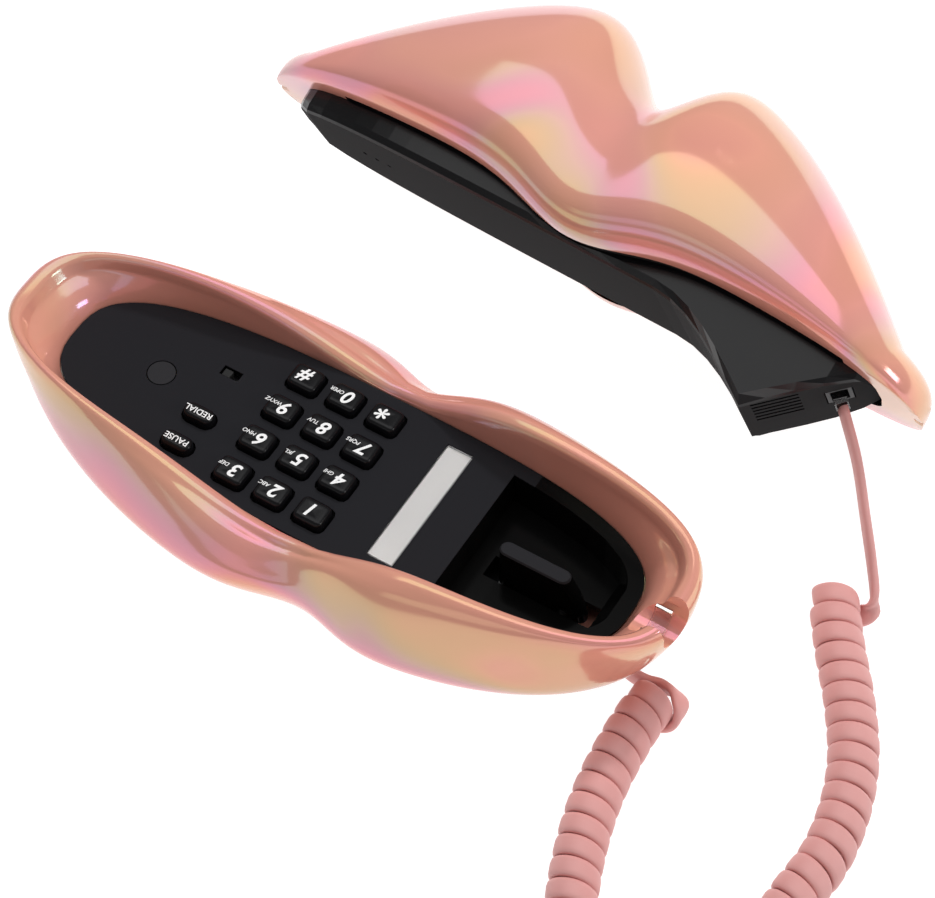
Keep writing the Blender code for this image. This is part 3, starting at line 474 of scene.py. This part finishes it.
SHELL_COLUMNS = 288
RIM_RISE, RIM_TILT = 15.0, 0.02
DIP_X, DIP_DEPTH, DIP_LEFT, DIP_RIGHT = -2.0, 13.6, 38.0, 25.0
NOTCH_CUT_X, NOTCH_FLARE, NOTCH_CUT_TOP = (92.5, 120.0), 1.5, 60.0
LINING_X, LINING_TOP = (101.5, 105.5), 41.0
LINING_GAP, LINING_OUT = 0.05, 1.6
ARC = [math.pi * step / 16 for step in range(17)]
# each jack's name, its back and mouth on X, its middle on Y, its width, and its side (1 is +X)
JACKS = (
    ("base_jack", 80.2, 89.7, -6.0, 10.0, 1),
    ("line_jack", -84.5, -94.0, 6.0, 12.0, -1),
)
JACK_HOLE_X = {1: (76.0, 116.0), -1: (-121.0, -81.0)}


def rim_height(x):
    """The rim dips at its middle and rises slightly to the cord's end."""
    spread = DIP_LEFT if x < DIP_X else DIP_RIGHT
    dip = DIP_DEPTH * math.exp(-(((x - DIP_X) / spread) ** 2))
    return PANEL_Z + RIM_RISE + RIM_TILT * x - dip


def narrowing(x, drawn_in, width, taper):
    """What the width is multiplied by at x, for the waist and the closed end's taper."""
    waist = drawn_in / width * math.exp(-(((x - WAIST_X) / WAIST_SPREAD) ** 2))
    closed_end = taper * min(x / CLOSED_LENGTH, 0.0) ** 2
    return (1.0 - waist) * (1.0 - closed_end)


def shell_levels(rim):
    """Half length, half width, power, height, waist and taper, from the bottom's outer
    edge over the rim and back down the inside."""
    over = rim - BELLY_Z
    wall_top = rim - 1.7
    wall = wall_top - PANEL_Z
    taper = CLOSED_TAPER
    outside = (
        (74.0, 32.0, 2.2, SHELL_BOTTOM, 1.0, taper),
        (84.0, 39.5, 2.2, 5.5, 4.5, taper),
        (94.0, 45.3, 2.2, 12.0, 6.5, taper),
        (102.0, 47.4, 2.2, BELLY_Z, 7.0, taper),
        (107.3, 43.0, 2.3, BELLY_Z + 0.45 * over, 6.0, taper),
        (108.6, 38.0, 2.6, BELLY_Z + 0.78 * over, 3.8, taper),
        (107.6, 34.6, 2.9, rim - 1.7, 2.2, 0.8 * taper),
        (106.4, 32.6, 3.1, rim - 0.3, 1.2, 0.7 * taper),
        (RIM_LENGTH, RIM_WIDTH, RIM_POWER, rim, 0.6, 0.6 * taper),
        (103.4, 29.4, 3.3, rim - 0.6, 0.0, 0.5 * taper),
    )
    inside = (
        (102.4, 28.7, 3.3, wall_top - 0.1, 0.0, 0.4 * taper),
        (101.2, 28.6, 3.3, PANEL_Z + 0.78 * wall, 0.0, 0.35 * taper),
        (100.4, 28.5, 3.3, PANEL_Z + 0.70 * wall, 0.0, 0.3 * taper),
        (98.6, 28.5, 3.3, PANEL_Z + 0.63 * wall, 0.0, 0.3 * taper),
        (95.2, 28.45, 3.1, PANEL_Z + 0.38 * wall, 0.0, 0.2 * taper),
        (PANEL_LENGTH + GAP, PANEL_WIDTH + GAP, PANEL_POWER, PANEL_Z - 0.4, 0.0, 0.0),
        (PANEL_LENGTH + GAP, PANEL_WIDTH + GAP, PANEL_POWER, PANEL_Z - 2.3, 0.0, 0.0),
        (PANEL_LENGTH - LEDGE, PANEL_WIDTH - LEDGE, PANEL_POWER, PANEL_Z - 2.3, 0.0, 0.0),
        (PANEL_LENGTH - LEDGE, PANEL_WIDTH - LEDGE, PANEL_POWER, PANEL_Z - 4.3, 0.0, 0.0),
        (95.0, 30.0, 2.9, PANEL_Z - 4.3, 0.0, 0.5 * taper),
        (98.0, 30.8, 2.9, PANEL_Z - 4.3 + 0.45 * (rim - 4.0 - PANEL_Z + 4.3), 0.0, 0.5 * taper),
        (103.0, 38.0, 2.4, BELLY_Z + 0.45 * over - 1.5, 5.0, taper),
        (99.2, 43.8, 2.2, BELLY_Z, 7.0, taper),
        (91.4, 41.8, 2.2, 13.0, 6.5, taper),
        (81.0, 36.2, 2.2, 7.5, 4.5, taper),
        (COVER_LENGTH + GAP, COVER_WIDTH + GAP, 2.2, SHELL_BOTTOM, 0.0, 0.0),
    )
    fine = []
    for i in range(len(outside) - 1):
        a, b, c = outside[max(i - 1, 0)], outside[i], outside[i + 1]
        d = outside[min(i + 2, len(outside) - 1)]
        for step in range(4):
            t = step / 4.0
            fine.append(tuple(spline(*numbers, t) for numbers in zip(a, b, c, d)))
    return fine + [outside[-1]] + list(inside)


def shell_cutter():
    """The cord's notch and the two jacks' holes, which are cut out of the shell."""
    bm = bmesh.new()
    centre_z = NOTCH_FLOOR + NOTCH_WIDTH / 2.0
    notch = [(NOTCH_Y + NOTCH_WIDTH / 2.0 * math.cos(a),
              centre_z - NOTCH_WIDTH / 2.0 * math.sin(a)) for a in ARC]
    notch += [(notch[-1][0] - NOTCH_FLARE, NOTCH_CUT_TOP), (notch[0][0] + NOTCH_FLARE, NOTCH_CUT_TOP)]
    skin(bm, [[on_base(x, y, z) for y, z in notch] for x in NOTCH_CUT_X])
    for _, _, _, middle, width, side in JACKS:
        x0, x1 = JACK_HOLE_X[side]
        y0, y1 = middle - width / 2.0 - GAP, middle + width / 2.0 + GAP
        corners = ((x0, y0), (x1, y0), (x1, y1), (x0, y1))
        skin(bm, [[on_base(x, y, z) for x, y in corners] for z in (JACK_LOW - GAP, JACK_HIGH + GAP)])
    return piece("shell_openings", bm, PEARL)


def make_base_shell():
    """A hollow lofted shell with its openings cut through."""
    bm = bmesh.new()
    columns = []
    for step in range(SHELL_COLUMNS):
        t = math.tau * (step + 0.5) / SHELL_COLUMNS
        rim = rim_height(oval(t, RIM_LENGTH, RIM_WIDTH, RIM_POWER, LEFT_STRETCH)[0])
        column = []
        for length, width, power, z, drawn_in, taper in shell_levels(rim):
            x, y = oval(t, length, width, power, LEFT_STRETCH)
            y *= narrowing(x, drawn_in, width, taper)
            column.append(bm.verts.new(on_base(x, y, z)))
        columns.append(column)
    for i, column in enumerate(columns):
        following = columns[(i + 1) % SHELL_COLUMNS]
        for j in range(len(column)):
            k = (j + 1) % len(column)
            bm.faces.new((column[j], following[j], following[k], column[k]))
    shell = piece("base_shell_look", bm, PEARL, sharp=50)
    tool = shell_cutter()
    cut = shell.modifiers.new("openings", "BOOLEAN")
    cut.operation = "DIFFERENCE"
    cut.solver = "EXACT"
    cut.object = tool
    bpy.context.view_layer.objects.active = shell
    bpy.context.view_layer.update()
    cut_mesh = bpy.data.meshes.new_from_object(
        shell.evaluated_get(bpy.context.evaluated_depsgraph_get())
    )
    shell.modifiers.clear()
    shell.data = cut_mesh
    shell.data.set_sharp_from_angle(angle=math.radians(40))
    bpy.data.objects.remove(tool)
    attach(shell, "base")
    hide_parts("base_shell")


make_base_shell()


def make_notch_lining():
    """Closes the shell's hollow wall round the notch: a U seen from the end."""
    centre_z = NOTCH_FLOOR + NOTCH_WIDTH / 2.0
    inner, outer = NOTCH_WIDTH / 2.0 + LINING_GAP, NOTCH_WIDTH / 2.0 + LINING_OUT
    band = [(inner, LINING_TOP)]
    band += [(inner * math.cos(a), centre_z - inner * math.sin(a)) for a in ARC]
    band += [(-inner, LINING_TOP), (-outer, LINING_TOP)]
    band += [(outer * math.cos(a), centre_z - outer * math.sin(a)) for a in reversed(ARC)]
    band += [(outer, LINING_TOP)]
    bm = bmesh.new()
    skin(bm, [[on_base(x, y + NOTCH_Y, z) for y, z in band] for x in LINING_X])
    lining = piece("notch_lining", bm, PEARL, sharp=30)
    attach(lining, "base")


make_notch_lining()


def make_jack_look(name, back, mouth, y, width, side):
    """An open jack whose mouth follows the shell's slope."""
    rings = []
    for inward, at_mouth, depth in ((0.0, False, 0.0), (0.0, True, 0.0), (JACK_WALL, True, 0.0),
                                    (JACK_WALL, False, JACK_WALL)):
        half = width / 2.0 - inward
        ring = []
        for dy, z in ((-half, JACK_LOW + inward), (half, JACK_LOW + inward),
                      (half, JACK_HIGH - inward), (-half, JACK_HIGH - inward)):
            slope = abs(back) + 2.0 + JACK_SLOPE * (z - JACK_LOW)
            x = side * min(abs(mouth), slope) if at_mouth else back + side * depth
            ring.append(on_base(x, y + dy, z))
        rings.append(ring)
    bm = bmesh.new()
    skin(bm, rings)
    jack = piece(f"{name}_look", bm, MATT_BLACK, sharp=30)
    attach(jack, "base")
    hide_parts(name)


for jack_sizes in JACKS:
    make_jack_look(*jack_sizes)


def make_hook_lever():
    """The fin of the hook lever, with rounded ends."""
    reach = math.hypot(LEVER_END_X - PIVOT_X, LEVER_TOP - PIVOT_Z)
    rings = []
    heights = [FIN_LOW + (LEVER_TOP - FIN_EDGE - FIN_LOW) * i / 8 for i in range(9)] + [LEVER_TOP]
    for z in heights:
        far = PIVOT_X + math.sqrt(reach**2 - (min(z, LEVER_TOP - FIN_STRAIGHT) - PIVOT_Z) ** 2)
        near = PIVOT_X - FIN_BACK
        inward = FIN_INWARD if z == LEVER_TOP else 0.0
        middle = (far + near) / 2.0 + BASE_CENTRE[0]
        outline = rounded(far - near - 2 * inward, 2 * (LEVER_HALF - inward), LEVER_HALF - inward)
        rings.append([(x + middle, y + BASE_CENTRE[1], z) for x, y in outline])
    bm = bmesh.new()
    skin(bm, rings)
    lever = piece("hook_lever_look", bm, LEVER, sharp=30)
    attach(lever, "hook_lever")
    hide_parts("hook_lever")


make_hook_lever()

# ---------------------------------------------------------------- handset shell

LIP_BASE, LIP_RISE = 14.0, 57.0
LEFT_HUMP, RIGHT_HUMP, CREASE_DEPTH = 1.21, 1.07, 0.35
CREASE_LEFT, CREASE_RIGHT = 19.0, 13.0
EDGE_W, EDGE_DIP, EDGE_SPREAD, EDGE_FALL = 11.8, 8.2, 24.0, 2.6
PINCH, PINCH_SPREAD = 0.07, 16.0
BELLY_POWER, EDGE_POWER, NOSE_POWER, SECTION_POWER = 2.2, 2.6, 3.5, 2.1
BELLY_SHARE = 0.22
TIP_RISE = 0.8
LIP_ROWS = 150


def lip_reach(u, inset=0.0):
    """How far the lips reach from the middle, on u's side."""
    return (LIP_LENGTH if u > 0.0 else LIP_LENGTH_LEFT) - inset


def lip_height(u):
    """The ridge's height along the handset: two humps with a crease between them."""
    share = max(0.0, 1.0 - (u / (lip_reach(u) + 1.0)) ** 2)
    left = u < CREASE_U
    crease = math.exp(-(((u - CREASE_U) / (CREASE_LEFT if left else CREASE_RIGHT)) ** 2))
    hump = (LEFT_HUMP if left else RIGHT_HUMP) * share**1.25
    if left:
        hump -= (LEFT_HUMP - RIGHT_HUMP) * crease
    return LIP_BASE + LIP_RISE * (hump - CREASE_DEPTH * crease)


def lip_edge(u):
    """The height of the shell's open edge."""
    dip = EDGE_DIP * math.exp(-((u / EDGE_SPREAD) ** 2))
    return EDGE_W - dip - EDGE_FALL * (u / lip_reach(u)) ** 4


def lip_section(u, inset, steps=32):
    """The section across the handset at u, from one edge over the ridge to the other."""
    length = lip_reach(u, inset)
    pinch = 1.0 - PINCH * math.exp(-(((u - CREASE_U) / PINCH_SPREAD) ** 2))
    belly = oval_half(u, length, LIP_WIDTH - inset, BELLY_POWER) * pinch
    edge = min(oval_half(u, length, LIP_EDGE_HALF - inset, EDGE_POWER), belly)
    low = lip_edge(u)
    nose = oval_half(u, length, NOSE_HEIGHT - inset, NOSE_POWER)
    top = max(lip_height(u) - inset, low + nose, low + 0.5)
    belly_w = low + BELLY_SHARE * (top - low)
    points = []
    lower = steps // 4
    for i in range(lower):
        angle = math.pi / 2 * i / lower
        v = edge + (belly - edge) * math.sin(angle)
        w = low + (belly_w - low) * (1.0 - math.cos(angle))
        points.append((v, w))
    upper = steps - lower
    for i in range(upper + 1):
        angle = math.pi / 2 * i / upper
        v = belly * max(math.cos(angle), 0.0) ** (2.0 / SECTION_POWER)
        w = belly_w + (top - belly_w) * math.sin(angle) ** (2.0 / SECTION_POWER)
        points.append((v, w))
    points[-1] = (0.0, points[-1][1])
    return points + [(-v, w) for v, w in reversed(points[:-1])]


def lip_surface(bm, inset):
    """Adds the lips' surface, moved in by inset, and returns its two long edges."""
    tip_w = lip_edge(LIP_LENGTH) + TIP_RISE
    left_reach, right_reach = lip_reach(-1.0, inset), lip_reach(1.0, inset)
    start = bm.verts.new((-left_reach, 0.0, tip_w))
    rows = []
    for i in range(1, LIP_ROWS):
        share = -math.cos(math.pi * i / LIP_ROWS)
        u = share * (right_reach if share > 0.0 else left_reach)
        rows.append([bm.verts.new((u, v, w)) for v, w in lip_section(u, inset)])
    end = bm.verts.new((right_reach, 0.0, tip_w))
    for low, high in zip(rows, rows[1:]):
        for j in range(len(low) - 1):
            bm.faces.new((low[j], high[j], high[j + 1], low[j + 1]))
    for j in range(len(rows[0]) - 1):
        bm.faces.new((start, rows[0][j], rows[0][j + 1]))
        bm.faces.new((end, rows[-1][j + 1], rows[-1][j]))
    left = [start] + [row[0] for row in rows] + [end]
    right = [start] + [row[-1] for row in rows] + [end]
    return left, right


def handset_place():
    """The handset's matrix in millimetres: it lies with its lowest point on the floor."""
    place = handset_turn().to_4x4()
    bm = bmesh.new()
    lip_surface(bm, 0.0)
    lowest = min((place @ v.co).z for v in bm.verts)
    bm.free()
    place.translation = (*HANDSET_CENTRE, -lowest)
    return place


HANDSET = handset_place()


def close_tips(bm, edge):
    """Closes the shell's underside between its edge and the cover, beyond TIP_START."""
    for a, b in zip(edge, edge[1:]):
        if abs(a.co.x + b.co.x) / 2.0 < TIP_START:
            continue
        inward = []
        for point in (b, a):
            half = oval_half(point.co.x - COVER_MIDDLE, COVER_HALF_U, COVER_HALF_V, COVER_POWER)
            y = math.copysign(min(half, abs(point.co.y)), point.co.y)
            inward.append(bm.verts.new((point.co.x, y, point.co.z)))
        bm.faces.new((a, b, *inward))


def make_handset_shell():
    """The outer and inner surfaces, joined along their edges and closed at the tips."""
    bm = bmesh.new()
    outer = lip_surface(bm, 0.0)
    inner = lip_surface(bm, LIP_WALL)
    for a, b in zip(outer, inner):
        for i in range(len(a) - 1):
            bm.faces.new((a[i], a[i + 1], b[i + 1], b[i]))
        close_tips(bm, b)
    shell = piece("handset_shell_look", bm, PEARL, HANDSET, sharp=60)
    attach(shell, "handset")
    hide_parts("handset_shell")


make_handset_shell()

# ---------------------------------------------------------------- keys

FLANGE_MARGIN, FLANGE_CORNER = 1.6, 1.2
KEY_CORNER, FUNCTION_CORNER = 2.2, 2.8
KEY_EDGE, KEY_DRAFT, KEY_SMALLEST_CORNER = 1.5, 0.35, 0.45
DIGIT_SIZE, STAR_SIZE, LETTER_SIZE, WORD_SIZE = 6.3, 9.0, 1.8, 2.8
DIGIT_SHIFT, STAR_DROP = 1.5, 1.9
LETTER_SHIFT, LETTER_DROP = 2.9, 0.6


def key_cap(name, x, y, size, corner):
    """A cap with a soft edge and a slightly dished top, on its flange."""
    flange = rounded(size[0] + FLANGE_MARGIN, size[1] + FLANGE_MARGIN, FLANGE_CORNER)
    rings = [[(px, py, z) for px, py in flange] for z in (KEY_FLANGE_LOW, KEY_FLANGE_HIGH)]
    rings.append([(px, py, KEY_FLANGE_HIGH) for px, py in rounded(*size, corner)])
    for i in range(7):
        angle = math.pi / 2 * i / 6
        inward = KEY_DRAFT + KEY_EDGE * (1.0 - math.cos(angle))
        z = KEY_TOP - KEY_EDGE * (1.0 - math.sin(angle))
        smaller = max(corner - inward, KEY_SMALLEST_CORNER)
        outline = rounded(size[0] - 2 * inward, size[1] - 2 * inward, smaller)
        rings.append([(px, py, z) for px, py in outline])
    for share, drop in ((0.6, 0.08), (0.25, 0.14)):
        top_x, top_y = (side - 2 * (KEY_DRAFT + KEY_EDGE) for side in size)
        outline = rounded(top_x * share, top_y * share, 0.3 * share)
        rings.append([(px, py, KEY_TOP - drop) for px, py in outline])
    bm = bmesh.new()
    skin(bm, rings)
    for vert in bm.verts:
        vert.co.x += x + BASE_CENTRE[0]
        vert.co.y += y + BASE_CENTRE[1]
    node = f"key_{name}"
    cap = piece(f"{node}_cap", bm, GLOSS_BLACK, sharp=45)
    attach(cap, node)
    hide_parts(node)


def lettering(name, body, x, y, size, on, slant=0.0, bold=0.0):
    """Text on a key's top. It reads from the far side: its up is -Y and its right -X."""
    curve = bpy.data.curves.new(name, "FONT")
    curve.body = body
    curve.size = size * MM
    curve.shear = slant
    curve.offset = bold * MM
    curve.extrude = 0.04 * MM
    curve.align_x = "CENTER"
    curve.align_y = "CENTER"
    curve.resolution_u = 4
    text = bpy.data.objects.new(name, curve)
    bpy.context.scene.collection.objects.link(text)
    text.location = base_place(x, y, KEY_TOP + 0.02)
    text.rotation_euler = (0.0, 0.0, math.pi)
    curve.materials.append(INK)
    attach(text, on)


KEYS = (
    (("1", "1", ""), ("2", "2", "ABC"), ("3", "3", "DEF")),
    (("4", "4", "GHI"), ("5", "5", "JKL"), ("6", "6", "MNO")),
    (("7", "7", "PQRS"), ("8", "8", "TUV"), ("9", "9", "WXYZ")),
    (("star", "*", ""), ("0", "0", "OPER"), ("hash", "#", "")),
)


def make_keys():
    """Twelve digit keys in a grid, and the two function keys."""
    for row, keys in enumerate(KEYS):
        for column, (name, digit, letters) in enumerate(keys):
            x = KEYPAD_X + (1 - column) * KEY_PITCH_X
            y = (row - 1.5) * KEY_PITCH_Y
            key_cap(name, x, y, KEY_SIZE, KEY_CORNER)
            left = DIGIT_SHIFT if letters else 0.0
            drop = STAR_DROP if digit == "*" else 0.0
            size = STAR_SIZE if digit == "*" else DIGIT_SIZE
            lettering(f"digit_{name}", digit, x + left, y + drop, size, f"key_{name}", 0.25, 0.14)
            if letters:
                lettering(f"letters_{name}", letters, x - LETTER_SHIFT, y + LETTER_DROP,
                          LETTER_SIZE, f"key_{name}", 0.2, 0.02)
    for name, (x, y) in FUNCTION_KEYS.items():
        key_cap(name, x, y, FUNCTION_SIZE, FUNCTION_CORNER)
        lettering(f"word_{name}", name.upper(), x, y, WORD_SIZE, f"key_{name}", 0.0, 0.03)


make_keys()

# ---------------------------------------------------------------- floor and lights


def make_floor():
    """A plain floor, just under the feet."""
    bm = bmesh.new()
    bmesh.ops.create_grid(bm, x_segments=1, y_segments=1, size=4000.0)
    floor = piece("floor", bm, FLOOR)
    floor.location.z = -0.0002


def area_light(name, place, aim, size, power):
    """A white softbox at place, aimed at aim (metres and watts)."""
    light = bpy.data.lights.new(name, "AREA")
    light.shape = "RECTANGLE"
    light.size, light.size_y = size
    light.energy = power
    obj = bpy.data.objects.new(name, light)
    bpy.context.scene.collection.objects.link(obj)
    obj.location = place
    direction = Vector(place) - Vector(aim)
    obj.rotation_euler = direction.to_track_quat("Z", "Y").to_euler()
    return obj


make_floor()
world = bpy.data.worlds.new("studio")
bpy.context.scene.world = world
world.use_nodes = True
world.node_tree.nodes["Background"].inputs["Color"].default_value = (1.0, 1.0, 1.0, 1.0)
world.node_tree.nodes["Background"].inputs["Strength"].default_value = 0.24
area_light("overhead", (0.0, 0.04, 0.8), (0.0, 0.04, 0.0), (1.1, 0.62), 3.0)
key_light = area_light("key", (-0.05, 0.75, 1.1), (0.0, -0.03, 0.03), (0.15, 0.15), 7.5)
key_light.visible_glossy = False
area_light("side", (0.95, 0.12, 0.40), (0.0, -0.05, 0.03), (0.35, 0.22), 1.6)
area_light("front", (0.1, -1.1, 0.35), (0.0, -0.1, 0.03), (1.2, 0.25), 0.5)
bpy.context.scene.view_settings.view_transform = "Standard"
